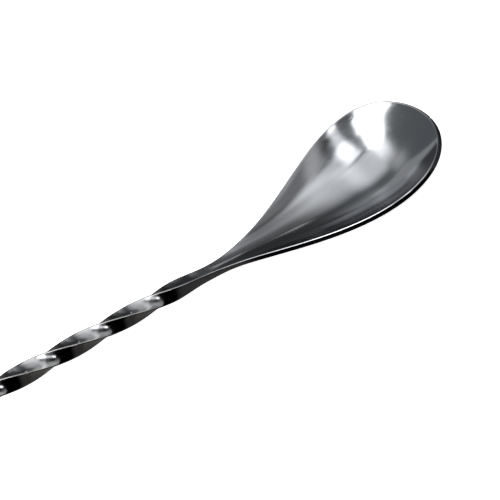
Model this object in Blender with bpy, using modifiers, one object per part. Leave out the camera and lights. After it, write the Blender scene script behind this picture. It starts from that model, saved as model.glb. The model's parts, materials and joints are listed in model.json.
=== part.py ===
"""Bar spoon, 300 mm long.

A pressed bowl is brazed onto a square bar with a right-hand twist. A turned ferrule on the bar's other end
carries a screwed-on muddler disc. Every piece is modelled along the bar's own axis: +X runs towards the
bowl's tip, +Z up, and x = 0 is where the bowl begins. At the end the whole spoon is tilted about Y and moved
so that it lies on z = 0 as it would on a counter, on the bowl's belly and the disc's rim.
"""

import math

import bpy
import numpy as np
from mathutils import Matrix

# Overall, in metres
OVERALL_LENGTH = 0.3000      # from the disc's flat face to the bowl's inner lip
TOUCH_GAP = 0.0003           # left between two pieces that touch
MERGE_DISTANCE = 0.00001

# Bowl and neck
BOWL_LENGTH = 0.0544         # from x = 0 to the inner lip
BOWL_WIDEST = 0.0392         # where the bowl is widest
BOWL_DEPTH = 0.0065          # deepest point below the rim, straight down
SHEET = 0.0012               # thickness of the pressed sheet
JOINT = -0.0095              # where the bowl's neck meets the bar
NECK_BLANK = -0.0105         # the neck is made longer, then cut off square at the joint
OUTLINE_START = -0.0060      # where the neck starts to flare
OUTLINE_POWER = 1.9
OUTLINE_TERMS = (0.0335, 0.0536, -0.0493)  # the teardrop's fullness near the neck, midway and at the lip
RIM_RISE = 0.0094            # the lip's height above the start of the bowl
RIM_START_POWER = 3.3
RIM_END_POWER = 1.95
DEPTH_POWER = 2.6            # how far towards the lip the deepest point lies
FLAT_FLOOR = 0.2             # how much flatter than a parabola a cross-section is
RIM_EDGE = 0.00012           # chamfer that breaks the sheet's cut edge

# Twisted bar
BAR_SIDE = 0.0036
BAR_DRAWN = 0.0003           # the bar is drawn down by this much towards the neck
DRAWN_START = -0.0520
DRAWN_LENGTH = 0.0320
BAR_CORNER = 0.0003
NECK_START = -0.0125         # where the square bar starts to thin down to the sheet
NECK_LENGTH = 0.0175
WAIST_START = -0.0140        # and to narrow to its waist
WAIST_LENGTH = 0.0095
WAIST_WIDTH = 0.0025
NECK_DIP = 0.00025           # the neck sags by this much, most at DIP_PLACE
DIP_PLACE = -0.0020
DIP_REACH = 0.0080
TWIST_PITCH = 0.0504         # length of one full turn, right-handed
TWIST_FADE = 0.0088          # length over which the twist dies out at each end
TWIST_FRONT = -0.0051        # no twist beyond this point
STRAIGHT_GRIP = 0.0100       # untwisted length next to the ferrule
TWIST_STEP = math.radians(10)

# Hidden joints: a brazed spigot in the neck, and M3 threads shown plain in the ferrule
BRAZE_SPIGOT_RADIUS = 0.0006
BRAZE_BORE_RADIUS = 0.0008
BRAZE_SPIGOT_LENGTH = 0.0030
THREAD_RADIUS = 0.0013
BAR_THREAD_LENGTH = 0.0042
DISC_THREAD_LENGTH = 0.0038

# Ferrule
FERRULE_LENGTH = 0.0090
FERRULE_RADIUS = 0.0027
FERRULE_BEAD_RADIUS = 0.0033
FERRULE_BEAD_HEIGHT = 0.0020
FERRULE_CHAMFER = 0.0004

# Muddler disc
DISC_RADIUS = 0.0100
DISC_THICKNESS = 0.0026
DISC_EDGE = 0.0008
HUB_RADIUS = 0.0030
HUB_HEIGHT = 0.0040
HUB_FILLET = 0.0028

# Places along the axis
DISC_FACE = BOWL_LENGTH - OVERALL_LENGTH
HUB_FACE = DISC_FACE + DISC_THICKNESS + HUB_HEIGHT
FERRULE_BACK = HUB_FACE + TOUCH_GAP
BAR_SHOULDER = FERRULE_BACK + FERRULE_LENGTH + TOUCH_GAP
TWIST_BACK = BAR_SHOULDER + STRAIGHT_GRIP + TWIST_FADE

# Mesh fineness
BODY_ROWS = 30
LIP_ROWS = 8
COLUMNS = 16
CORNER_POINTS = 2
TURNED_STEPS = 48
BORE_SIDES = 16
NECK_CUT_SIZE = 0.008


def smoothstep(value):
    """0 below 0, 1 above 1, with a smooth S between."""
    t = min(max(value, 0.0), 1.0)
    return t * t * (3 - 2 * t)


def bar_side(x):
    """Side of the square bar, which is slightly thinner near the neck."""
    return BAR_SIDE - BAR_DRAWN * smoothstep((x - DRAWN_START) / DRAWN_LENGTH)


def thickness(x):
    """Thickness of the bar, of the neck and, past the neck, of the sheet."""
    return bar_side(x) - (bar_side(x) - SHEET) * smoothstep((x - NECK_START) / NECK_LENGTH)


def half_width(x):
    """Half the width of the bar and of the bowl's teardrop outline, which ends round at the lip."""
    waist = bar_side(x) - (bar_side(x) - WAIST_WIDTH) * smoothstep((x - WAIST_START) / WAIST_LENGTH)
    p = min(max((x - OUTLINE_START) / (BOWL_LENGTH - OUTLINE_START), 0.0), 1.0)
    fullness = sum(term * p**power for power, term in enumerate(OUTLINE_TERMS))
    return math.sqrt(1 - p) * (waist / 2 + p**OUTLINE_POWER * fullness)


def sag(x):
    """How far the middle of the section lies below the bar's axis."""
    return NECK_DIP * (1 - smoothstep(abs(x - DIP_PLACE) / DIP_REACH))


def rim_height(x):
    """Height of the rim above the bar's axis: it leaves the neck level and climbs to the lip."""
    t = min(max(x / BOWL_LENGTH, 0.0), 1.0)
    return thickness(x) / 2 - sag(x) + RIM_RISE * (1 - (1 - t) ** RIM_END_POWER) ** RIM_START_POWER


def depth(x):
    """Depth of the bowl below its rim at one station."""
    p = min(max((x - OUTLINE_START) / (BOWL_LENGTH - OUTLINE_START), 0.0), 1.0)
    deepest = DEPTH_POWER / (DEPTH_POWER + 1)
    return BOWL_DEPTH * (p / deepest) ** DEPTH_POWER * (1 - p) / (1 - deepest)


def ramped(distance):
    """Length that counts as fully twisted, from where the twist begins to fade in."""
    if distance <= 0:
        return 0.0
    if distance < TWIST_FADE:
        return distance**2 / (2 * TWIST_FADE)
    return distance - TWIST_FADE / 2


def twist(x):
    """Angle of the section about the axis: 0 in the bowl, and turning right-handed along +X."""
    turned_length = ramped(TWIST_FRONT - x) - ramped(TWIST_BACK - x)
    return -2 * math.pi * turned_length / TWIST_PITCH


def turn_section(points, angle):
    """Turn (y, z) points about the axis."""
    c = math.cos(angle)
    s = math.sin(angle)
    return [(y * c - z * s, y * s + z * c) for y, z in points]


def bowl_point(along, across):
    """Point of the inner surface: along runs from 0 at the neck's end to 1 at the lip, across from -1 to 1."""
    body_share = BODY_ROWS / (BODY_ROWS + LIP_ROWS)
    if along <= body_share:
        x = NECK_BLANK + (BOWL_WIDEST - NECK_BLANK) * along / body_share
        t = across
    else:
        a = (along - body_share) / (1 - body_share)
        forward = a * math.sqrt(1 - across**2 / 2)
        sideways = across * math.sqrt(1 - a**2 / 2)
        x = BOWL_WIDEST + (BOWL_LENGTH - BOWL_WIDEST) * forward
        t = sideways / math.sqrt(max(1 - forward**2, MERGE_DISTANCE**2))
    t = min(max(t, -1.0), 1.0)
    p = min(max((x - OUTLINE_START) / (BOWL_LENGTH - OUTLINE_START), 0.0), 1.0)
    flat = FLAT_FLOOR * 4 * p * (1 - p)
    z = rim_height(x) - depth(x) * (1 - (1 - flat) * t**2 - flat * t**4)
    y, z = turn_section([(half_width(x) * t, z)], twist(x))[0]
    return x, y, z


def make_material(name, color, roughness):
    material = bpy.data.materials.new(name)
    material.use_nodes = True
    shader = material.node_tree.nodes["Principled BSDF"]
    shader.inputs["Base Color"].default_value = (*color, 1.0)
    shader.inputs["Metallic"].default_value = 1.0
    shader.inputs["Roughness"].default_value = roughness
    return material


def link(part, collection, material=None):
    """Move an object into one collection and give it its material."""
    for old in list(part.users_collection):
        old.objects.unlink(part)
    collection.objects.link(part)
    if material is not None:
        part.data.materials.clear()
        part.data.materials.append(material)
    return part


def loft(name, rings):
    """One closed body through rings of equally many (x, y, z) points."""
    count = len(rings[0])
    faces = [tuple(range(count - 1, -1, -1))]
    for start in range(0, count * (len(rings) - 1), count):
        for i in range(count):
            j = (i + 1) % count
            faces.append((start + i, start + j, start + count + j, start + count + i))
    last = count * (len(rings) - 1)
    faces.append(tuple(range(last, last + count)))
    mesh = bpy.data.meshes.new(name)
    mesh.from_pydata([point for ring in rings for point in ring], [], faces)
    return bpy.data.objects.new(name, mesh)


def square_ring(x):
    """Section of the bar: a square with rounded corners, turned by the twist."""
    corners = []
    for quarter in range(4):
        for step in range(CORNER_POINTS):
            angle = math.pi / 2 * (quarter + step / (CORNER_POINTS - 1))
            middle = math.pi / 4 + math.pi / 2 * quarter
            y = math.copysign(half_width(x) - BAR_CORNER, math.cos(middle)) + BAR_CORNER * math.cos(angle)
            z = math.copysign(thickness(x) / 2 - BAR_CORNER, math.sin(middle)) + BAR_CORNER * math.sin(angle)
            corners.append((y, z - sag(x)))
    return [(x, y, z) for y, z in turn_section(corners, twist(x))]


def round_ring(x, radius, angle):
    """Round section with as many points as the bar's."""
    count = 4 * CORNER_POINTS
    turns = [2 * math.pi * (i + 0.5) / count + angle for i in range(count)]
    return [(x, radius * math.cos(turn), radius * math.sin(turn)) for turn in turns]


def bar_stations():
    """Places of the bar's sections: one for each step of the twist, and even steps where it is straight."""
    pitch_step = TWIST_PITCH * TWIST_STEP / (2 * math.pi)
    front = JOINT - TOUCH_GAP
    count = round((front - BAR_SHOULDER) / pitch_step)
    return [BAR_SHOULDER + (front - BAR_SHOULDER) * i / count for i in range(count + 1)]


def make_shaft():
    """Twisted bar with a threaded end for the ferrule and a spigot for the bowl's neck."""
    stations = bar_stations()
    back = stations[0]
    front = stations[-1]
    rings = [round_ring(back - BAR_THREAD_LENGTH, THREAD_RADIUS, twist(back))]
    rings.append(round_ring(back, THREAD_RADIUS, twist(back)))
    rings += [square_ring(x) for x in stations]
    rings.append(round_ring(front, BRAZE_SPIGOT_RADIUS, twist(front)))
    rings.append(round_ring(front + BRAZE_SPIGOT_LENGTH, BRAZE_SPIGOT_RADIUS, twist(front)))
    shaft = loft("shaft", rings)
    shaft.data.shade_smooth()
    shaft.data.set_sharp_from_angle(angle=math.radians(35))
    return shaft


def make_bowl(cutters):
    """Bowl and neck: a grid shaped by bowl_point, given its thickness by Solidify, cut and bored at the neck."""
    rows = BODY_ROWS + LIP_ROWS
    bpy.ops.mesh.primitive_grid_add(x_subdivisions=rows, y_subdivisions=COLUMNS, size=2)
    bowl = bpy.context.object
    bowl.name = "bowl"
    for vertex in bowl.data.vertices:
        vertex.co = bowl_point((vertex.co.x + 1) / 2, vertex.co.y)
    thickest = thickness(NECK_BLANK)
    weights = bowl.vertex_groups.new(name="thickness")
    for vertex in bowl.data.vertices:
        weights.add([vertex.index], thickness(vertex.co.x) / thickest, "REPLACE")
    solidify = bowl.modifiers.new("sheet", "SOLIDIFY")
    solidify.thickness = thickest
    solidify.offset = -1
    solidify.vertex_group = weights.name
    edge = bowl.modifiers.new("broken edge", "BEVEL")
    edge.limit_method = "ANGLE"
    edge.angle_limit = math.radians(50)
    edge.width = RIM_EDGE
    edge.segments = 1

    bpy.ops.mesh.primitive_cube_add(size=NECK_CUT_SIZE, location=(JOINT - NECK_CUT_SIZE / 2, 0, 0))
    end_cutter = bpy.context.object
    end_cutter.name = "neck_end_cutter"
    bpy.ops.mesh.primitive_cylinder_add(
        vertices=BORE_SIDES,
        radius=BRAZE_BORE_RADIUS,
        depth=2 * (BRAZE_SPIGOT_LENGTH + TOUCH_GAP),
        location=(JOINT, 0, 0),
        rotation=(0, math.pi / 2, 0),
    )
    bore_cutter = bpy.context.object
    bore_cutter.name = "neck_bore_cutter"
    for cutter in (end_cutter, bore_cutter):
        cutter.display_type = "WIRE"
        cutter.hide_render = True
        link(cutter, cutters)
        cut = bowl.modifiers.new(cutter.name.removesuffix("_cutter"), "BOOLEAN")
        cut.operation = "DIFFERENCE"
        cut.object = cutter
    bowl.data.shade_smooth()
    return bowl, [end_cutter, bore_cutter]


def arc(center_r, center_z, radius, start, end, steps):
    """Points of an arc in a turned profile, from one angle to another, in degrees."""
    angles = [math.radians(start + (end - start) * i / steps) for i in range(steps + 1)]
    return [(center_r + radius * math.cos(a), center_z + radius * math.sin(a)) for a in angles]


def turned(name, profile, closed, place):
    """Turned piece: a profile of (radius, height) points screwed once round, its height laid along +X."""
    edges = [(i, i + 1) for i in range(len(profile) - 1)]
    if closed:
        edges.append((len(profile) - 1, 0))
    mesh = bpy.data.meshes.new(name)
    mesh.from_pydata([(r, 0, z) for r, z in profile], edges, [])
    piece = bpy.data.objects.new(name, mesh)
    screw = piece.modifiers.new("turn", "SCREW")
    screw.steps = TURNED_STEPS
    screw.render_steps = TURNED_STEPS
    screw.use_merge_vertices = True
    screw.merge_threshold = MERGE_DISTANCE
    piece.location = (place, 0, 0)
    piece.rotation_euler = (0, math.pi / 2, 0)
    return piece


def make_ferrule():
    """Round sleeve, threaded right through, with a bead where it meets the disc's hub."""
    bore = THREAD_RADIUS + TOUCH_GAP
    top = FERRULE_LENGTH
    bead_middle = FERRULE_BEAD_HEIGHT / 2
    bead_bulge = FERRULE_BEAD_RADIUS - FERRULE_RADIUS
    profile = [(bore, top), (FERRULE_RADIUS - FERRULE_CHAMFER, top), (FERRULE_RADIUS, top - FERRULE_CHAMFER)]
    profile.append((FERRULE_RADIUS, FERRULE_BEAD_HEIGHT))
    for step in range(1, 6):
        angle = math.pi / 2 - math.pi * step / 6
        bulge = bead_bulge * math.cos(angle)
        profile.append((FERRULE_RADIUS + bulge, bead_middle + bead_middle * math.sin(angle)))
    profile += [(FERRULE_RADIUS, 0), (bore, 0)]
    return turned("ferrule", profile, True, FERRULE_BACK)


def make_disc():
    """Muddler disc with a filleted hub and a threaded stud; the flat face at height 0 does the muddling."""
    hub_top = DISC_THICKNESS + HUB_HEIGHT
    stud_top = hub_top + DISC_THREAD_LENGTH
    edge_center = DISC_RADIUS - DISC_EDGE
    profile = [(0, stud_top), (THREAD_RADIUS, stud_top), (THREAD_RADIUS, hub_top), (HUB_RADIUS, hub_top)]
    profile += arc(HUB_RADIUS + HUB_FILLET, DISC_THICKNESS + HUB_FILLET, HUB_FILLET, 180, 270, 5)
    profile += arc(edge_center, DISC_THICKNESS - DISC_EDGE, DISC_EDGE, 90, 0, 3)
    profile += arc(edge_center, DISC_EDGE, DISC_EDGE, 0, -90, 3)
    profile.append((0, 0))
    return turned("muddler_disc", profile, False, DISC_FACE)


def evaluated_points(parts):
    """All the vertices of the finished pieces, as an array of x, y, z rows."""
    graph = bpy.context.evaluated_depsgraph_get()
    clouds = []
    for part in parts:
        finished = part.evaluated_get(graph)
        flat = np.empty(3 * len(finished.data.vertices), dtype=np.float32)
        finished.data.vertices.foreach_get("co", flat)
        world = np.array(part.matrix_world)
        clouds.append(flat.reshape(-1, 3) @ world[:3, :3].T + world[:3, 3])
    return np.concatenate(clouds)


def lay_down(parts, followers):
    """Tilt and place the spoon so that it rests on z = 0, centred under its box."""
    bpy.context.view_layer.update()
    points = evaluated_points(parts)
    middle = (points[:, 0].min() + points[:, 0].max()) / 2
    behind = points[points[:, 0] < middle][:, None, :]
    ahead = points[points[:, 0] >= middle][None, :, :]
    slopes = (ahead[..., 2] - behind[..., 2]) / (ahead[..., 0] - behind[..., 0])
    heights = behind[..., 2] + slopes * (middle - behind[..., 0])
    tilt = Matrix.Rotation(math.atan(slopes.flat[heights.argmin()]), 4, "Y")
    laid = points @ np.array(tilt)[:3, :3].T
    low = laid.min(axis=0)
    high = laid.max(axis=0)
    rest = bpy.data.objects.new("rest", None)
    parts[0].users_collection[0].objects.link(rest)
    rest.matrix_world = Matrix.Translation((-(low[0] + high[0]) / 2, 0, -low[2])) @ tilt
    for piece in parts + followers:
        piece.parent = rest


def main():
    for old in list(bpy.data.objects):
        bpy.data.objects.remove(old)
    spoon = bpy.data.collections.new("bar_spoon")
    cutters = bpy.data.collections.new("cutters")
    bpy.context.scene.collection.children.link(spoon)
    bpy.context.scene.collection.children.link(cutters)

    bowl, neck_cutters = make_bowl(cutters)
    shaft = make_shaft()
    ferrule = make_ferrule()
    disc = make_disc()
    link(bowl, spoon, make_material("bowl_gunmetal", (0.20, 0.21, 0.22), 0.12))
    link(shaft, spoon, make_material("shaft_gunmetal", (0.17, 0.17, 0.18), 0.18))
    link(ferrule, spoon, make_material("ferrule_gunmetal", (0.17, 0.17, 0.18), 0.16))
    link(disc, spoon, make_material("disc_gunmetal", (0.18, 0.18, 0.19), 0.16))
    lay_down([bowl, shaft, ferrule, disc], neck_cutters)


main()
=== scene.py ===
import json
import math

import bpy
import numpy as np
from mathutils import Matrix, Vector


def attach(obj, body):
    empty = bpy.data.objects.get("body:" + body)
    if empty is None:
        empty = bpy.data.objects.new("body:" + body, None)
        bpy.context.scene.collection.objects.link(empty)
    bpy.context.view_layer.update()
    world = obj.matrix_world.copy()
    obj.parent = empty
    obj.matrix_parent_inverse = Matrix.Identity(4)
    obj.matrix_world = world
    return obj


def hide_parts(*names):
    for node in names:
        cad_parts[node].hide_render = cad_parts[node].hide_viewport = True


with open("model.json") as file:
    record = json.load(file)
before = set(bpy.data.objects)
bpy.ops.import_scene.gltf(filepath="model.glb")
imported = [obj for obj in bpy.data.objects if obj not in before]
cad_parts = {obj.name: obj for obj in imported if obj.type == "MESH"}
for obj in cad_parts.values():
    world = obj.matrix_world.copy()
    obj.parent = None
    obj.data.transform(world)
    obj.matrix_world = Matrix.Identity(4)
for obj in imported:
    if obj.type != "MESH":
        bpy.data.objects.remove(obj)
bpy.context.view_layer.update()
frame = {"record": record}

# ---------------------------------------------------------------------------------------------------------
# Sizes shared with the CAD model, in metres
# ---------------------------------------------------------------------------------------------------------
OVERALL_LENGTH = 0.3000      # from the disc's flat face to the bowl's inner lip
TOUCH_GAP = 0.0003           # left between two pieces that touch

BOWL_LENGTH = 0.0544         # from x = 0 to the inner lip
BOWL_WIDEST = 0.0392         # where the bowl is widest
BOWL_DEPTH = 0.0065          # deepest point below the rim, straight down
SHEET = 0.0012               # thickness of the pressed sheet
JOINT = -0.0095              # where the bowl's neck meets the bar
OUTLINE_START = -0.0060      # where the neck starts to flare
OUTLINE_POWER = 1.9
OUTLINE_TERMS = (0.0335, 0.0536, -0.0493)  # the teardrop's fullness near the neck, midway and at the lip
RIM_RISE = 0.0094            # the lip's height above the start of the bowl
RIM_START_POWER = 3.3
RIM_END_POWER = 1.95
DEPTH_POWER = 2.6            # how far towards the lip the deepest point lies
FLAT_FLOOR = 0.2             # how much flatter than a parabola a cross-section is

BAR_SIDE = 0.0036
BAR_DRAWN = 0.0003           # the bar is drawn down by this much towards the neck
DRAWN_START = -0.0520
DRAWN_LENGTH = 0.0320
BAR_CORNER = 0.0003
NECK_START = -0.0125         # where the square bar starts to thin down to the sheet
NECK_LENGTH = 0.0175
WAIST_START = -0.0140        # and to narrow to its waist
WAIST_LENGTH = 0.0095
WAIST_WIDTH = 0.0025
NECK_DIP = 0.00025           # the neck sags by this much, most at DIP_PLACE
DIP_PLACE = -0.0020
DIP_REACH = 0.0080
TWIST_PITCH = 0.0504         # length of one full turn, right-handed
TWIST_FADE = 0.0088          # length over which the twist dies out at each end
TWIST_FRONT = -0.0051        # no twist beyond this point
STRAIGHT_GRIP = 0.0100       # untwisted length next to the ferrule

BRAZE_SPIGOT_RADIUS = 0.0006
BRAZE_BORE_RADIUS = 0.0008
BRAZE_SPIGOT_LENGTH = 0.0030
THREAD_RADIUS = 0.0013
BAR_THREAD_LENGTH = 0.0042
DISC_THREAD_LENGTH = 0.0038

FERRULE_LENGTH = 0.0090
FERRULE_RADIUS = 0.0027
FERRULE_BEAD_RADIUS = 0.0033
FERRULE_BEAD_HEIGHT = 0.0020
FERRULE_CHAMFER = 0.0004

DISC_RADIUS = 0.0100
DISC_THICKNESS = 0.0026
DISC_EDGE = 0.0008
HUB_RADIUS = 0.0030
HUB_HEIGHT = 0.0040
HUB_FILLET = 0.0028

DISC_FACE = BOWL_LENGTH - OVERALL_LENGTH
HUB_FACE = DISC_FACE + DISC_THICKNESS + HUB_HEIGHT
FERRULE_BACK = HUB_FACE + TOUCH_GAP
BAR_SHOULDER = FERRULE_BACK + FERRULE_LENGTH + TOUCH_GAP
TWIST_BACK = BAR_SHOULDER + STRAIGHT_GRIP + TWIST_FADE

# ---------------------------------------------------------------------------------------------------------
# The bowl's cut edge, which is finer here than in the CAD model
# ---------------------------------------------------------------------------------------------------------
RIM_RADIUS = 0.00026         # rounding of the sheet's cut edge
ROUNDING_LENGTH = 0.008      # from the joint on, the bar's rounding turns into the sheet's over this length
SQUARE_END = -0.002          # up to here the neck's edge is square to the bar
SQUARE_FADE = 0.008          # and this much further on it is square to the bowl's surface
UPRIGHT_SHARE = 0.5          # how far the cut face leans from square to upright along the sides
LIP_START = 0.042            # from here to LIP_LENGTH further on it turns square again
LIP_LENGTH = 0.008

# Fineness of the meshes
BODY_STATIONS = 150
LIP_STATIONS = 140
RIB_STEPS = 46
EDGE_STEPS = 10
CUT_STEPS = 3
SHAFT_STATIONS = 760
CORNER_STEPS = 7
FLAT_STEPS = 6
TURNED_STEPS = 160
CHAMFER_STEPS = 6
BEAD_STEPS = 16
FILLET_STEPS = 20
DISC_EDGE_STEPS = 8
SLOPE_STEP = 1e-6            # step in metres for slopes worked out from two points
RIM_STEP = 1e-4              # share of the way to the rim, for the direction outward at the rim
NEARLY_ALL = 1 - 1e-6        # share that stops just short of the rim, where the outline is still smooth
NEARLY_NOTHING = 1e-12       # keeps a division finite at the lip
SHARP_ANGLE = math.radians(40)

# ---------------------------------------------------------------------------------------------------------
# Placement: the spoon's axes in the row's frame, from the flat face that the record states
# ---------------------------------------------------------------------------------------------------------
face_mount = next(m for m in frame["record"]["mounts"] if m["name"] == "muddler_face")
along = -Vector(face_mount["axis"]).normalized()
across = Vector((0, 1, 0))
upward = along.cross(across)
start = Vector(face_mount["pos_m"]) - along * DISC_FACE
TO_ROW = Matrix.Translation(start) @ Matrix((along, across, upward)).transposed().to_4x4()


# ---------------------------------------------------------------------------------------------------------
# Shape formulas, the CAD model's, for arrays of x
# ---------------------------------------------------------------------------------------------------------
def smoothstep(value):
    """0 below 0, 1 above 1, with a smooth S between."""
    t = np.clip(value, 0.0, 1.0)
    return t * t * (3 - 2 * t)


def bar_side(x):
    """Side of the square bar, which is slightly thinner near the neck."""
    return BAR_SIDE - BAR_DRAWN * smoothstep((x - DRAWN_START) / DRAWN_LENGTH)


def thickness(x):
    """Thickness of the bar, of the neck and, past the neck, of the sheet."""
    return bar_side(x) - (bar_side(x) - SHEET) * smoothstep((x - NECK_START) / NECK_LENGTH)


def outline_share(x):
    """How far along the teardrop's outline x is, from 0 in the neck to 1 at the lip."""
    return np.clip((x - OUTLINE_START) / (BOWL_LENGTH - OUTLINE_START), 0.0, 1.0)


def blunt_half_width(x):
    """Half width before the factor that rounds it off at the lip."""
    waist = bar_side(x) - (bar_side(x) - WAIST_WIDTH) * smoothstep((x - WAIST_START) / WAIST_LENGTH)
    p = outline_share(x)
    return waist / 2 + p**OUTLINE_POWER * sum(term * p**power for power, term in enumerate(OUTLINE_TERMS))


def half_width(x):
    return np.sqrt(1 - outline_share(x)) * blunt_half_width(x)


def rim_height(x):
    """Height of the bar's top, of the neck's and of the bowl's rim above the bar's axis."""
    t = np.clip(x / BOWL_LENGTH, 0.0, 1.0)
    dip = NECK_DIP * (1 - smoothstep(abs(x - DIP_PLACE) / DIP_REACH))
    return thickness(x) / 2 - dip + RIM_RISE * (1 - (1 - t) ** RIM_END_POWER) ** RIM_START_POWER


def inner_height(x, y):
    """Height of the bowl's inner surface.

    The factor that rounds the outline off at the lip is divided out of it, so it stays finite there.
    """
    p = outline_share(x)
    deepest = DEPTH_POWER / (DEPTH_POWER + 1)
    blunt_depth = BOWL_DEPTH * (p / deepest) ** DEPTH_POWER / (1 - deepest)
    width = blunt_half_width(x)
    flat = FLAT_FLOOR * 4 * p * (1 - p)
    parabola = (1 - flat) * blunt_depth * (y / width) ** 2
    quartic = FLAT_FLOOR * 4 * p * blunt_depth * (y / width) ** 4
    return rim_height(x) - (1 - p) * blunt_depth + parabola + quartic


def ramped(distance):
    """Distance less what it loses while the twist builds up."""
    faded = np.clip(distance, 0, TWIST_FADE) ** 2 / (2 * TWIST_FADE)
    return faded + np.clip(distance - TWIST_FADE, 0, None)


def twist(x):
    """Angle that the bar's section has turned by at x."""
    return -2 * math.pi * (ramped(TWIST_FRONT - x) - ramped(TWIST_BACK - x)) / TWIST_PITCH


def inner_point(x, y):
    """Point of the bowl's and the neck's top surface."""
    z = inner_height(x, y)
    c, s = np.cos(twist(x)), np.sin(twist(x))
    return np.stack([x + 0 * y, y * c - z * s, y * s + z * c], axis=-1)


# ---------------------------------------------------------------------------------------------------------
# Helpers for the pieces
# ---------------------------------------------------------------------------------------------------------
def unit(vectors):
    return vectors / np.linalg.norm(vectors, axis=-1, keepdims=True)


def dot(one, two):
    return (one * two).sum(-1, keepdims=True)


def make_piece(name, node, material, points, faces):
    mesh = bpy.data.meshes.new(name)
    mesh.from_pydata([tuple(p) for p in points], [], faces)
    mesh.validate()
    mesh.transform(TO_ROW)
    mesh.shade_smooth()
    mesh.set_sharp_from_angle(angle=SHARP_ANGLE)
    mesh.materials.append(material)
    piece = bpy.data.objects.new(name, mesh)
    bpy.context.scene.collection.objects.link(piece)
    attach(piece, "root")
    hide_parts(node)
    return piece


def bridge(first, second):
    """Quads between two closed rings of vertex numbers."""
    count = len(first)
    return [(first[i], first[(i + 1) % count], second[(i + 1) % count], second[i]) for i in range(count)]


def arc(center_r, center_z, radius, start_angle, end_angle, steps):
    """Points of an arc in a profile of (radius, height), with its angles in degrees."""
    angles = [math.radians(start_angle + (end_angle - start_angle) * i / steps) for i in range(steps + 1)]
    return [(center_r + radius * math.cos(a), center_z + radius * math.sin(a)) for a in angles]


def turn(profile, place, closed, steps):
    """Points and faces of a turned piece from a profile of (radius, height), with its height along +X."""
    points, rings = [], []
    for radius, height in profile:
        if radius == 0:
            rings.append([len(points)] * steps)
            points.append((place + height, 0, 0))
            continue
        rings.append(list(range(len(points), len(points) + steps)))
        for i in range(steps):
            a = 2 * math.pi * i / steps
            points.append((place + height, radius * math.cos(a), radius * math.sin(a)))
    pairs = list(zip(rings, rings[1:])) + ([(rings[-1], rings[0])] if closed else [])
    faces = []
    for one, two in pairs:
        for quad in bridge(two, one):
            face = tuple(dict.fromkeys(quad))
            if len(face) > 2:
                faces.append(face)
    return points, faces


# ---------------------------------------------------------------------------------------------------------
# Bowl: ribs that run from its middle line over the rim to the underside, one after the other round the rim
# ---------------------------------------------------------------------------------------------------------
def bowl_stations():
    """One station per rib: where on the middle line it starts, and its shares of forward and sideways."""
    body_x = np.linspace(JOINT, BOWL_WIDEST, BODY_STATIONS)
    lip_angle = np.linspace(math.pi / 2, -math.pi / 2, LIP_STATIONS + 1)[1:-1]
    ones = np.ones(BODY_STATIONS)
    base_x = np.concatenate([body_x, BOWL_WIDEST * np.ones(LIP_STATIONS - 1), body_x[::-1]])
    forward = np.concatenate([0 * ones, np.cos(lip_angle), 0 * ones])
    sideways = np.concatenate([ones, np.sin(lip_angle), -ones])
    return base_x, forward, sideways


BASE_X, FORWARD, SIDEWAYS = bowl_stations()


def inner_place(share):
    """x and y of the inner surface at a share of the way from the middle to the rim, one per station."""
    a = share * FORWARD
    x = BASE_X + (BOWL_LENGTH - BOWL_WIDEST) * a
    lip_factor = np.sqrt((1 - outline_share(x)) / np.clip(1 - a**2, NEARLY_NOTHING, None))
    y = blunt_half_width(x) * lip_factor * share * SIDEWAYS
    return x, y


def inner_frame(share):
    """Point and normal of the inner surface, x, and how far the bar's section has turned into the bowl's."""
    x, y = inner_place(share)
    point = inner_point(x, y)
    slope_x = inner_point(x + SLOPE_STEP, y) - inner_point(x - SLOPE_STEP, y)
    slope_y = inner_point(x, y + SLOPE_STEP) - inner_point(x, y - SLOPE_STEP)
    normal = unit(np.cross(slope_x, slope_y))
    flat_normal = np.stack([0 * x, -np.sin(twist(x)), np.cos(twist(x))], axis=-1)
    blend = smoothstep((x - SQUARE_END) / SQUARE_FADE)[:, None]
    return point, unit(flat_normal * (1 - blend) + normal * blend), x, blend


def rim_frame():
    """Along the rim: x, the inner surface's normal and outward direction, and the direction the cut faces.

    The cut face is square to the sheet at the lip and in the neck, and leans upright along the sides.
    """
    ones = np.ones_like(BASE_X)
    point, normal, x, blend = inner_frame(NEARLY_ALL * ones)
    before = inner_point(*inner_place((NEARLY_ALL - RIM_STEP) * ones))
    tangent = unit(np.gradient(point, axis=0))
    outward = (point - before) / RIM_STEP
    outward -= dot(outward, tangent) * tangent
    sheet_out = unit(np.cross(tangent, normal))
    sheet_out *= np.sign(dot(sheet_out, outward))
    side = np.sign(SIDEWAYS)
    bar_out = np.stack([0 * x, np.cos(twist(x)) * side, np.sin(twist(x)) * side], axis=-1)
    square_out = unit(bar_out * (1 - blend) + sheet_out * blend)
    level_out = square_out * np.array([1, 1, 0])
    lean = UPRIGHT_SHARE * blend * (1 - smoothstep((x - LIP_START) / LIP_LENGTH))[:, None]
    return x, normal, outward, unit(square_out * (1 - lean) + level_out * lean)


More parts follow.
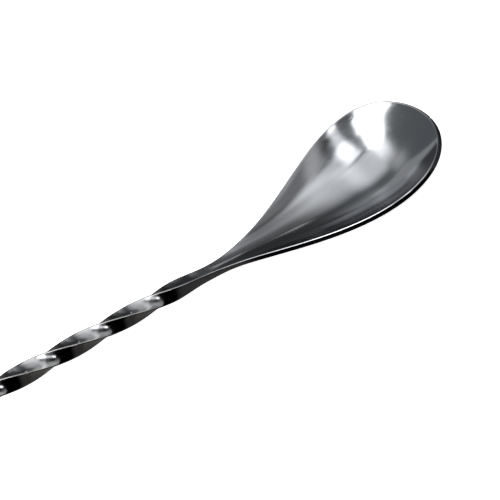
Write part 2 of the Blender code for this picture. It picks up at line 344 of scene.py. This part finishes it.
def bowl_ribs():
    """Points of all ribs, with the edge rounded at the top and at the foot of the cut face."""
    x, normal, outward, cut = rim_frame()
    sheet = thickness(x)[:, None]
    r = BAR_CORNER + (RIM_RADIUS - BAR_CORNER) * smoothstep((BASE_X - JOINT) / ROUNDING_LENGTH)[:, None]
    turn_angle = np.arccos(np.clip(dot(normal, cut), -1, 1))
    tip = r * np.tan(turn_angle / 2)
    inset = (1 - tip / np.linalg.norm(outward, axis=-1, keepdims=True))[:, 0]

    inner, outer = [], []
    for k in range(RIB_STEPS + 1):
        point, point_normal, point_x, _ = inner_frame(inset * k / RIB_STEPS)
        inner.append(point)
        outer.append(point - point_normal * thickness(point_x)[:, None])
    cosine, sine = np.cos(turn_angle), np.sin(turn_angle)
    sheet_out = unit(cut - cosine * normal)
    top_corner = inner[-1] + sheet_out * tip
    foot_corner = top_corner - sheet * (normal - sheet_out * cosine / sine)
    upper = top_corner - r * (normal + cut) / (1 + cosine)
    lower = foot_corner + r * (normal - cut) / (1 - cosine)
    edge = []
    for k in range(1, EDGE_STEPS + 1):
        a = turn_angle * k / EDGE_STEPS
        edge.append(upper + r * (np.cos(a) * normal + np.sin(a) * sheet_out))
    for k in range(1, CUT_STEPS):
        edge.append(upper + r * cut + (lower - upper) * k / CUT_STEPS)
    for k in range(EDGE_STEPS):
        a = turn_angle + (math.pi - turn_angle) * k / EDGE_STEPS
        edge.append(lower + r * (np.cos(a) * normal + np.sin(a) * sheet_out))
    outer[-1] = lower - r * normal
    return np.array(inner + edge + outer[::-1])


def stitched(ribs):
    """Points, vertex numbers and faces. Both sides and all ribs of the lip share the middle's vertices."""
    rib_count, stations = ribs.shape[:2]
    points = []
    number = np.zeros((rib_count, stations), dtype=int)
    last = stations - 1
    for s in range(stations):
        in_lip = BODY_STATIONS <= s <= last - BODY_STATIONS
        shared = BODY_STATIONS - 1 if in_lip else last - s
        for k in range(rib_count):
            middle = k in (0, rib_count - 1)
            if middle and s >= BODY_STATIONS:
                number[k, s] = number[k, shared]
            else:
                number[k, s] = len(points)
                points.append(ribs[k, s])
    faces = []
    for s in range(last):
        for k in range(rib_count - 1):
            quad = (number[k, s], number[k, s + 1], number[k + 1, s + 1], number[k + 1, s])
            faces.append(tuple(int(v) for v in dict.fromkeys(quad)))
    return points, number, faces


def make_bowl(material):
    points, number, faces = stitched(bowl_ribs())

    # the end of the neck, with the blind bore that takes the bar's spigot
    mouth = [int(v) for v in list(number[:, 0]) + list(number[-2:0:-1, -1])]
    ring = mouth
    bore_end = JOINT + BRAZE_SPIGOT_LENGTH + TOUCH_GAP
    for place in (JOINT, bore_end):
        new_ring = []
        for v in mouth:
            angle = math.atan2(points[v][2], points[v][1])
            new_ring.append(len(points))
            points.append((place, BRAZE_BORE_RADIUS * math.cos(angle), BRAZE_BORE_RADIUS * math.sin(angle)))
        faces += bridge(new_ring, ring)
        ring = new_ring
    faces.append(tuple(ring))
    return make_piece("spoon_bowl", "bowl", material, points, faces)


# ---------------------------------------------------------------------------------------------------------
# Shaft, ferrule and disc
# ---------------------------------------------------------------------------------------------------------
def bar_ring(x):
    """Rounded square section of the bar, turned by the twist."""
    half_y, half_z = float(half_width(x)), float(thickness(x)) / 2
    inner_y, inner_z = half_y - BAR_CORNER, half_z - BAR_CORNER
    rise = float(rim_height(x)) - half_z
    ring = []
    for quarter in range(4):
        middle = math.pi / 4 + math.pi / 2 * quarter
        cy, cz = math.copysign(inner_y, math.cos(middle)), math.copysign(inner_z, math.sin(middle))
        for step in range(CORNER_STEPS + 1):
            a = math.pi / 2 * (quarter + step / CORNER_STEPS)
            ring.append((cy + BAR_CORNER * math.cos(a), cz + BAR_CORNER * math.sin(a) + rise))
        end = ring[-1]
        following = middle + math.pi / 2
        a = math.pi / 2 * (quarter + 1)
        to = (
            math.copysign(inner_y, math.cos(following)) + BAR_CORNER * math.cos(a),
            math.copysign(inner_z, math.sin(following)) + BAR_CORNER * math.sin(a) + rise,
        )
        for step in range(1, FLAT_STEPS):
            t = step / FLAT_STEPS
            ring.append((end[0] + (to[0] - end[0]) * t, end[1] + (to[1] - end[1]) * t))
    c, s = math.cos(twist(x)), math.sin(twist(x))
    return [(x, y * c - z * s, y * s + z * c) for y, z in ring]


def round_ring(x, radius, like):
    """Round section whose points stand at the same angles as those of another ring."""
    return [(x, radius * math.cos(a), radius * math.sin(a)) for a in (math.atan2(p[2], p[1]) for p in like)]


def make_shaft(material):
    """The bar, with its threaded end and its brazing spigot."""
    shoulder = BAR_SHOULDER - TOUCH_GAP
    rings = [bar_ring(x) for x in np.linspace(shoulder, JOINT, SHAFT_STATIONS)]
    first, last = rings[0], rings[-1]
    rings.insert(0, round_ring(shoulder, THREAD_RADIUS, first))
    rings.insert(0, round_ring(shoulder - BAR_THREAD_LENGTH, THREAD_RADIUS, first))
    rings.append(round_ring(JOINT, BRAZE_SPIGOT_RADIUS, last))
    rings.append(round_ring(JOINT + BRAZE_SPIGOT_LENGTH, BRAZE_SPIGOT_RADIUS, last))
    count = len(first)
    points = [p for ring in rings for p in ring]
    numbers = [list(range(i * count, (i + 1) * count)) for i in range(len(rings))]
    faces = [tuple(reversed(numbers[0])), tuple(numbers[-1])]
    for one, two in zip(numbers, numbers[1:]):
        faces += bridge(one, two)
    return make_piece("twisted_shaft", "shaft", material, points, faces)


def make_ferrule(material):
    """Sleeve with a chamfer at the bar's end, a bead at the disc's end and a bore right through."""
    bore = THREAD_RADIUS + TOUCH_GAP
    bead_middle = FERRULE_BEAD_HEIGHT / 2
    bulge = FERRULE_BEAD_RADIUS - FERRULE_RADIUS
    chamfer_foot = FERRULE_RADIUS - FERRULE_CHAMFER
    profile = [(bore, FERRULE_LENGTH)]
    profile += arc(chamfer_foot, FERRULE_LENGTH - FERRULE_CHAMFER, FERRULE_CHAMFER, 90, 0, CHAMFER_STEPS)
    profile.append((FERRULE_RADIUS, FERRULE_BEAD_HEIGHT))
    for step in range(1, BEAD_STEPS):
        a = math.pi / 2 - math.pi * step / BEAD_STEPS
        profile.append((FERRULE_RADIUS + bulge * math.cos(a), bead_middle + bead_middle * math.sin(a)))
    profile += [(FERRULE_RADIUS, 0), (FERRULE_RADIUS, -TOUCH_GAP), (bore, -TOUCH_GAP)]
    points, faces = turn(profile, FERRULE_BACK, True, TURNED_STEPS)
    return make_piece("end_ferrule", "ferrule", material, points, faces)


def make_disc(material):
    """Disc with a rounded edge, and the hub and stud that hold it in the ferrule."""
    hub_top = DISC_THICKNESS + HUB_HEIGHT
    stud_top = hub_top + DISC_THREAD_LENGTH
    edge = DISC_RADIUS - DISC_EDGE
    profile = [(0, stud_top), (THREAD_RADIUS, stud_top), (THREAD_RADIUS, hub_top), (HUB_RADIUS, hub_top)]
    profile += arc(HUB_RADIUS + HUB_FILLET, DISC_THICKNESS + HUB_FILLET, HUB_FILLET, 180, 270, FILLET_STEPS)
    profile += arc(edge, DISC_THICKNESS - DISC_EDGE, DISC_EDGE, 90, 0, DISC_EDGE_STEPS)
    profile += arc(edge, DISC_EDGE, DISC_EDGE, 0, -90, DISC_EDGE_STEPS)
    profile.append((0, 0))
    points, faces = turn(profile, DISC_FACE, False, TURNED_STEPS)
    return make_piece("end_disc", "muddler_disc", material, points, faces)


# ---------------------------------------------------------------------------------------------------------
# Materials
# ---------------------------------------------------------------------------------------------------------
class Metal:
    """Polished metal whose colour, roughness and fine marks are worked out by shader nodes."""

    def __init__(self, name):
        self.material = bpy.data.materials.new(name)
        self.material.use_nodes = True
        self.nodes = self.material.node_tree.nodes
        self.links = self.material.node_tree.links
        self.shader = self.nodes["Principled BSDF"]
        self.shader.inputs["Metallic"].default_value = 1.0
        self.point = self.spoon_axes()

    def spoon_axes(self):
        """The shaded point in the spoon's own axes, in metres."""
        place = self.nodes.new("ShaderNodeTexCoord")
        turned = self.nodes.new("ShaderNodeMapping")
        turned.vector_type = "TEXTURE"
        turned.inputs["Location"].default_value = TO_ROW.translation
        turned.inputs["Rotation"].default_value = TO_ROW.to_euler()
        self.links.new(place.outputs["Object"], turned.inputs["Vector"])
        return turned.outputs["Vector"]

    def off_axis(self):
        """Distance from the spoon's axis."""
        axes = self.nodes.new("ShaderNodeSeparateXYZ")
        sideways = self.nodes.new("ShaderNodeCombineXYZ")
        radius = self.nodes.new("ShaderNodeVectorMath")
        radius.operation = "LENGTH"
        self.links.new(self.point, axes.inputs["Vector"])
        self.links.new(axes.outputs["Y"], sideways.inputs["Y"])
        self.links.new(axes.outputs["Z"], sideways.inputs["Z"])
        self.links.new(sideways.outputs["Vector"], radius.inputs[0])
        return radius.outputs["Value"]

    def noise(self, point, per_metre, detail):
        """Noise between about 0.3 and 0.7; per_metre says how many times it varies along each axis."""
        scaled = self.nodes.new("ShaderNodeMapping")
        scaled.inputs["Scale"].default_value = per_metre
        texture = self.nodes.new("ShaderNodeTexNoise")
        texture.inputs["Scale"].default_value = 1.0
        texture.inputs["Detail"].default_value = detail
        self.links.new(point, scaled.inputs["Vector"])
        self.links.new(scaled.outputs["Vector"], texture.inputs["Vector"])
        return texture.outputs["Fac"]

    def between(self, value, low, high, start, end):
        """Map a value from low..high to start..end, held beyond both."""
        mapped = self.nodes.new("ShaderNodeMapRange")
        mapped.inputs["From Min"].default_value = low
        mapped.inputs["From Max"].default_value = high
        mapped.inputs["To Min"].default_value = start
        mapped.inputs["To Max"].default_value = end
        self.links.new(value, mapped.inputs["Value"])
        return mapped.outputs["Result"]

    def color(self, share, first, second):
        """Colour from first to second as the share goes from 0 to 1."""
        blend = self.nodes.new("ShaderNodeMix")
        blend.data_type = "RGBA"
        blend.inputs["A"].default_value = (*first, 1)
        blend.inputs["B"].default_value = (*second, 1)
        self.links.new(share, blend.inputs["Factor"])
        self.links.new(blend.outputs["Result"], self.shader.inputs["Base Color"])

    def roughness(self, value, *more):
        """Roughness as a sum."""
        for term in more:
            total = self.nodes.new("ShaderNodeMath")
            total.operation = "ADD"
            self.links.new(value, total.inputs[0])
            self.links.new(term, total.inputs[1])
            value = total.outputs["Value"]
        self.links.new(value, self.shader.inputs["Roughness"])

    def grooves(self, height, depth):
        """Fine marks: height is 0 to 1 and depth is in metres."""
        bump = self.nodes.new("ShaderNodeBump")
        bump.inputs["Distance"].default_value = depth
        self.links.new(height, bump.inputs["Height"])
        self.links.new(bump.outputs["Normal"], self.shader.inputs["Normal"])


def bowl_metal():
    """Pressed and mop-polished: cloudy roughness, faint strokes along the bowl, a few hairline scratches."""
    metal = Metal("bowl_gunmetal")
    cloud = metal.noise(metal.point, (70, 110, 110), 3)
    strokes = metal.noise(metal.point, (90, 1900, 1900), 3)
    hairlines = metal.noise(metal.point, (260, 4200, 900), 1)
    tint = metal.between(cloud, 0.35, 0.65, 0, 1)
    metal.color(tint, (0.292, 0.301, 0.316), (0.318, 0.324, 0.335))
    smears = metal.between(cloud, 0.35, 0.7, 0.105, 0.145)
    lines = metal.between(strokes, 0.35, 0.7, -0.015, 0.02)
    scratches = metal.between(hairlines, 0.69, 0.73, 0.0, 0.09)
    metal.roughness(smears, lines, scratches)
    metal.grooves(strokes, 0.0000022)
    return metal.material


LIGHTER_CORNER_START = 0.00200         # distances from the axis between which the bar's corners turn lighter in colour
LIGHTER_CORNER_END = 0.00228


def bar_metal():
    """Drawn and twisted bar: marks along it, and corners lighter in colour."""
    metal = Metal("shaft_gunmetal")
    cloud = metal.noise(metal.point, (150, 260, 260), 3)
    drawn = metal.noise(metal.point, (120, 2600, 2600), 3)
    # the colour turns lighter towards the corners, between these distances from the axis
    lighter_corners = metal.between(metal.off_axis(), LIGHTER_CORNER_START, LIGHTER_CORNER_END, 0, 1)
    metal.color(lighter_corners, (0.285, 0.289, 0.298), (0.37, 0.368, 0.365))
    smears = metal.between(cloud, 0.35, 0.7, 0.10, 0.14)
    lines = metal.between(drawn, 0.35, 0.7, -0.02, 0.03)
    metal.roughness(smears, lines)
    metal.grooves(drawn, 0.0000010)
    return metal.material


def ferrule_metal():
    """Turned sleeve: fine rings along its length and a smudged polish."""
    metal = Metal("ferrule_gunmetal")
    rings = metal.noise(metal.point, (5200, 60, 60), 2)
    smudge = metal.noise(metal.point, (420, 420, 420), 4)
    tint = metal.between(smudge, 0.35, 0.65, 0, 1)
    metal.color(tint, (0.275, 0.279, 0.288), (0.305, 0.309, 0.317))
    metal.roughness(metal.between(smudge, 0.3, 0.7, 0.12, 0.2))
    metal.grooves(rings, 0.0000020)
    return metal.material


def disc_metal():
    """Faced disc: rings round its middle, and a face scuffed by muddling."""
    metal = Metal("disc_gunmetal")
    axes = metal.nodes.new("ShaderNodeSeparateXYZ")
    round_the_axis = metal.nodes.new("ShaderNodeCombineXYZ")
    metal.links.new(metal.point, axes.inputs["Vector"])
    metal.links.new(metal.off_axis(), round_the_axis.inputs["X"])
    metal.links.new(axes.outputs["X"], round_the_axis.inputs["Y"])
    rings = metal.noise(round_the_axis.outputs["Vector"], (4300, 4300, 0), 2)
    scuffs = metal.noise(metal.point, (300, 900, 900), 5)
    tint = metal.between(scuffs, 0.35, 0.65, 0, 1)
    metal.color(tint, (0.28, 0.285, 0.295), (0.315, 0.318, 0.325))
    marks = metal.between(rings, 0.35, 0.7, -0.02, 0.03)
    wear = metal.between(scuffs, 0.4, 0.7, 0.13, 0.24)
    metal.roughness(wear, marks)
    metal.grooves(rings, 0.0000024)
    return metal.material


# ---------------------------------------------------------------------------------------------------------
# Studio
# ---------------------------------------------------------------------------------------------------------
CEILING = 2.0                # height of the softboxes above the bowl
LOW_CEILING = 0.4
STACK_STEP = 0.01            # share of its height by which each softbox hangs above the one before
BOWL_MIDDLE = 0.035          # point along the spoon that the softboxes are laid out from
SHARP = 0.001                # fade of an edge that doesn't darken

WALL_WIDTH = 0.72
WALL_HEIGHT = 0.95
WALL_RADIANCE = 0.36
WALL_PLACE = (-0.18, 2.0, 0.5)

ROOM_TINT_LOW = (1.06, 1.0, 0.95)
ROOM_TINT_HIGH = (0.95, 1.0, 1.05)


def ramp(nodes, links, value, low, high, dark, light):
    """Smooth ramp from dark, where the value is low or less, to light, where it is high or more."""
    step = nodes.new("ShaderNodeMapRange")
    step.interpolation_type = "SMOOTHSTEP"
    step.inputs["From Min"].default_value = low
    step.inputs["From Max"].default_value = high
    step.inputs["To Min"].default_value = dark
    step.inputs["To Max"].default_value = light
    links.new(value, step.inputs["Value"])
    return step.outputs["Result"]


def calculated(nodes, links, operation, one, two):
    result = nodes.new("ShaderNodeMath")
    result.operation = operation
    links.new(one, result.inputs[0])
    links.new(two, result.inputs[1])
    return result.outputs["Value"]


def hang_panel(name, width, depth, radiance, placement):
    """Rectangular light that the camera doesn't see."""
    data = bpy.data.lights.new(name, "AREA")
    data.shape = "RECTANGLE"
    data.size = width
    data.size_y = depth
    data.energy = radiance * math.pi * data.size * data.size_y
    light = bpy.data.objects.new(name, data)
    light.matrix_world = placement
    light.visible_camera = False
    bpy.context.scene.collection.objects.link(light)
    return data


def fade_edges(data, fade):
    """Darken a light towards its -X, +X, -Y and +Y edge, over these shares of its width or depth."""
    data.use_nodes = True
    nodes, links = data.node_tree.nodes, data.node_tree.links
    place = nodes.new("ShaderNodeTexCoord")
    axes = nodes.new("ShaderNodeSeparateXYZ")
    links.new(place.outputs["UV"], axes.inputs["Vector"])
    left, right, front, back = fade
    strength = ramp(nodes, links, axes.outputs["X"], 0, left, 0, 1)
    for axis, edge, full in (("X", 1, 1 - right), ("Y", 0, front), ("Y", 1, 1 - back)):
        part = ramp(nodes, links, axes.outputs[axis], edge, full, 0, 1)
        strength = calculated(nodes, links, "MULTIPLY", strength, part)
    links.new(strength, nodes["Emission"].inputs["Strength"])


softboxes = []


def softbox(name, middle, size, radiance, fade, ceiling=CEILING, angle=0.0):
    """Overhead softbox, laid out as slopes: metres sideways for each metre of height above the bowl.

    Each softbox hangs a little higher than the one before, because one in the same plane would hide it.
    """
    height = ceiling + STACK_STEP * len(softboxes) * ceiling
    place = (BOWL_MIDDLE + middle[0] * height, middle[1] * height, height)
    turned = Matrix.Rotation(math.radians(angle), 4, "Z")
    data = hang_panel(
        name, size[0] * height, size[1] * height, radiance, TO_ROW @ Matrix.Translation(place) @ turned
    )
    fade_edges(data, fade)
    softboxes.append(data)


def span(low, high):
    """Middle and size of a softbox from its lowest and highest slopes."""
    return ((low[0] + high[0]) / 2, (low[1] + high[1]) / 2), (high[0] - low[0], high[1] - low[1])


def hang_key_lights():
    """Key light on the disc's side of the bowl, in several pieces that give it its slanting outline."""
    softbox("key_back", *span((-0.68, -0.3), (-0.42, 1.15)), 3.8, (0.5, 0.1, SHARP, 0.85))
    softbox("key_far", *span((-0.78, 0.6), (-0.42, 2.2)), 0.4, (0.4, 0.35, 0.3, 0.6))
    softbox("key_slanted", (-0.675, -0.14), (0.30, 0.62), 4.2, (0.5, SHARP, SHARP, SHARP), angle=-33)
    softbox("key_left", *span((-1.5, -0.68), (-0.75, -0.24)), 4.2, (SHARP, SHARP, SHARP, 0.3))
    softbox("key_middle", *span((-0.75, -0.5), (-0.38, 0.15)), 4.2, (0.3, 0.1, SHARP, 0.5))
    softbox("key_front", *span((-1.5, -0.85), (-0.34, -0.4)), 4.2, (SHARP, 0.05, 0.1, SHARP))
    softbox("key_foot", *span((-1.5, -1.15), (-0.42, -0.75)), 4.2, (SHARP, 0.08, 0.1, 0.1))


def hang_front_strips():
    """Slanting strip light in front of the spoon, in three pieces."""
    softbox("front_strip", (-0.075, -0.74), (0.21, 1.25), 2.0, (0.35, 0.35, 0.06, 0.1), angle=13)
    softbox("front_strip_top", (-0.15, -0.30), (0.26, 0.70), 3.0, (0.25, 0.45, 0.3, 0.15), angle=15)
    softbox("front_strip_foot", (0.045, -1.22), (0.24, 0.5), 3.8, (0.3, 0.35, 0.05, 0.45), angle=13)


def hang_overhead_lights():
    """Dimmer lights overhead, in front and behind, and the glint in the neck."""
    softbox("overhead_left", *span((-0.46, 0.03), (0.0, 1.35)), 1.3, (0.1, 0.45, 0.06, 0.5))
    softbox("overhead_middle", *span((-0.26, -0.28), (0.40, 1.15)), 1.15, (0.25, 0.5, 0.2, 0.6))
    softbox("front_fill", *span((-0.6, -1.35), (0.15, -0.5)), 0.25, (SHARP, 0.2, 0.3, 0.3))
    softbox("far_left", *span((-0.85, 0.95), (-0.40, 2.6)), 0.2, (0.35, 0.25, 0.1, 0.4))
    softbox("overhead_core", (-0.05, 0.03), (0.34, 0.5), 0.5, (0.4, 0.5, 0.3, 0.5))
    softbox("far_right", *span((-0.22, 0.95), (0.5, 3.4)), 0.34, (0.2, 0.35, 0.55, 0.3))
    softbox("neck_glint", (0.45, 0.93), (0.24, 0.20), 1.0, (0.4, 0.4, 0.4, 0.4), angle=20)


def hang_low_lights():
    """Lights on the lip's side. They hang low, so that the shaft sees them further towards the lip."""
    softbox("overhead_right", (0.16, -0.25), (0.66, 0.56), 1.3, (0.3, 0.35, 0.45, 0.5), LOW_CEILING, angle=-8)
    softbox("overhead_side", *span((0.02, -0.45), (0.66, 0.55)), 0.70, (0.3, 0.6, 0.3, 0.45), LOW_CEILING)
    softbox("overhead_rest", *span((0.15, 0.1), (0.7, 0.9)), 0.18, (0.3, 0.3, 0.2, 0.3), LOW_CEILING)
    softbox("front_slat", (0.36, -0.87), (0.34, 1.0), 0.6, (0.35, 0.35, 0.25, 0.1), LOW_CEILING, angle=24)
    softbox("front_right", *span((0.62, -1.8), (1.5, -0.6)), 1.0, (0.4, 0.3, 0.1, 0.45), LOW_CEILING)
    softbox("front_base", *span((0.12, -1.8), (1.4, -0.25)), 0.36, (0.15, 0.3, 0.1, 0.15), LOW_CEILING)
    softbox("front_low", *span((0.25, -1.8), (0.9, -1.0)), 0.3, (0.4, 0.4, 0.1, 0.4), LOW_CEILING)


def hang_back_wall():
    """Dim panel that stands behind the spoon and faces it."""
    upright = Matrix.Rotation(math.radians(-90), 4, "X")
    hang_panel("back_wall", WALL_WIDTH, WALL_HEIGHT, WALL_RADIANCE, Matrix.Translation(WALL_PLACE) @ upright)


def make_world():
    """Dark room: dim above, black in front, and very dim below the table."""
    world = bpy.data.worlds.new("studio")
    bpy.context.scene.world = world
    world.use_nodes = True
    nodes, links = world.node_tree.nodes, world.node_tree.links
    background = nodes["Background"]
    direction = nodes.new("ShaderNodeTexCoord")
    axes = nodes.new("ShaderNodeSeparateXYZ")
    links.new(direction.outputs["Generated"], axes.inputs["Vector"])
    x, y, z = (axes.outputs[axis] for axis in "XYZ")

    above = ramp(nodes, links, z, -0.1, 0.15, 0.35, 1.0)
    behind = ramp(nodes, links, y, -0.72, -0.5, 0.0, 1.0)
    sideways = ramp(nodes, links, x, -0.1, 0.35, 0.24, 0.07)
    below = ramp(nodes, links, z, -0.5, -0.2, 0.08, 0.0)
    room = calculated(nodes, links, "MULTIPLY", above, behind)
    room = calculated(nodes, links, "MULTIPLY", room, sideways)
    room = calculated(nodes, links, "ADD", room, below)
    links.new(room, background.inputs["Strength"])

    tint = nodes.new("ShaderNodeMix")
    tint.data_type = "RGBA"
    tint.inputs["A"].default_value = (*ROOM_TINT_LOW, 1)
    tint.inputs["B"].default_value = (*ROOM_TINT_HIGH, 1)
    links.new(ramp(nodes, links, z, -0.2, 0.2, 0, 1), tint.inputs["Factor"])
    links.new(tint.outputs["Result"], background.inputs["Color"])


BACKDROP_RADIUS = 4.0
BACKDROP_CURVE = 1.5         # radius of the curve between floor and backdrop
FLAT_RADIUS = 0.6            # of the floor's middle
FLOOR_STEPS = 64
CURVE_STEPS = 12
DOME_STEPS = 16
FLOOR_WHITE = (0.9, 0.9, 0.9, 1)
FLOOR_GLOW = 0.85


def make_floor():
    """Plain pale floor that curves up into a domed backdrop all round."""
    foot = BACKDROP_RADIUS - BACKDROP_CURVE
    profile = [(0.0, 0.0), (FLAT_RADIUS, 0.0), (foot, 0.0)]
    for i in range(1, CURVE_STEPS + 1):
        a = math.pi / 2 * i / CURVE_STEPS
        profile.append((foot + BACKDROP_CURVE * math.sin(a), BACKDROP_CURVE - BACKDROP_CURVE * math.cos(a)))
    for i in range(1, DOME_STEPS):
        a = math.pi / 2 * i / DOME_STEPS
        profile.append((BACKDROP_RADIUS * math.cos(a), BACKDROP_CURVE + BACKDROP_RADIUS * math.sin(a)))
    profile.append((0.0, BACKDROP_CURVE + BACKDROP_RADIUS))
    points, faces = turn(profile, 0.0, False, FLOOR_STEPS)
    mesh = bpy.data.meshes.new("floor")
    mesh.from_pydata([(y, z, x) for x, y, z in points], [], faces)
    floor = bpy.data.objects.new("floor", mesh)
    bpy.context.scene.collection.objects.link(floor)
    material = bpy.data.materials.new("white_floor")
    material.use_nodes = True
    shader = material.node_tree.nodes["Principled BSDF"]
    shader.inputs["Base Color"].default_value = FLOOR_WHITE
    shader.inputs["Roughness"].default_value = 1.0
    shader.inputs["Specular IOR Level"].default_value = 0.0
    shader.inputs["Emission Color"].default_value = (1, 1, 1, 1)
    shader.inputs["Emission Strength"].default_value = FLOOR_GLOW
    mesh.materials.append(material)
    floor.visible_glossy = False
    floor.visible_diffuse = False
    floor.visible_shadow = False


# ---------------------------------------------------------------------------------------------------------
# Camera, in the spoon's axes
# ---------------------------------------------------------------------------------------------------------
VIEW_LEAN = math.radians(-12)          # how far the camera stands towards the disc end
VIEW_ELEVATION = math.radians(50)
VIEW_ROLL = math.radians(28.96)
VIEW_DISTANCE = 0.4283                 # from the start of the bowl
AIM_RIGHT = 0.00625                    # the camera aims this far to the right of the start of the bowl
AIM_UP = 0.00325                       # and this far above it
LENS = 144.0
SENSOR = 36.0
NEAREST = 0.01


def make_camera():
    lean, elevation, roll = VIEW_LEAN, VIEW_ELEVATION, VIEW_ROLL
    back = Vector((
        math.sin(lean),
        -math.cos(lean) * math.cos(elevation),
        math.cos(lean) * math.sin(elevation),
    ))
    level = Vector((
        math.cos(lean),
        math.sin(lean) * math.cos(elevation),
        -math.sin(lean) * math.sin(elevation),
    ))
    steep = Vector((0, math.sin(elevation), math.cos(elevation)))
    right = level * math.cos(roll) - steep * math.sin(roll)
    up = level * math.sin(roll) + steep * math.cos(roll)
    aim = right * AIM_RIGHT + up * AIM_UP
    place = back * VIEW_DISTANCE
    look_back = (place - aim).normalized()
    camera_up = (up - look_back * up.dot(look_back)).normalized()
    camera_right = camera_up.cross(look_back)
    turned = Matrix((camera_right, camera_up, look_back)).transposed().to_4x4()
    data = bpy.data.cameras.new("camera")
    data.sensor_width = SENSOR
    data.lens = LENS
    data.clip_start = NEAREST
    camera = bpy.data.objects.new("camera", data)
    camera.matrix_world = TO_ROW @ Matrix.Translation(place) @ turned
    bpy.context.scene.collection.objects.link(camera)
    bpy.context.scene.camera = camera


make_camera()
make_bowl(bowl_metal())
make_shaft(bar_metal())
make_ferrule(ferrule_metal())
make_disc(disc_metal())
make_floor()
hang_key_lights()
hang_front_strips()
hang_overhead_lights()
hang_low_lights()
hang_back_wall()
make_world()
bpy.context.scene.view_settings.view_transform = "Standard"
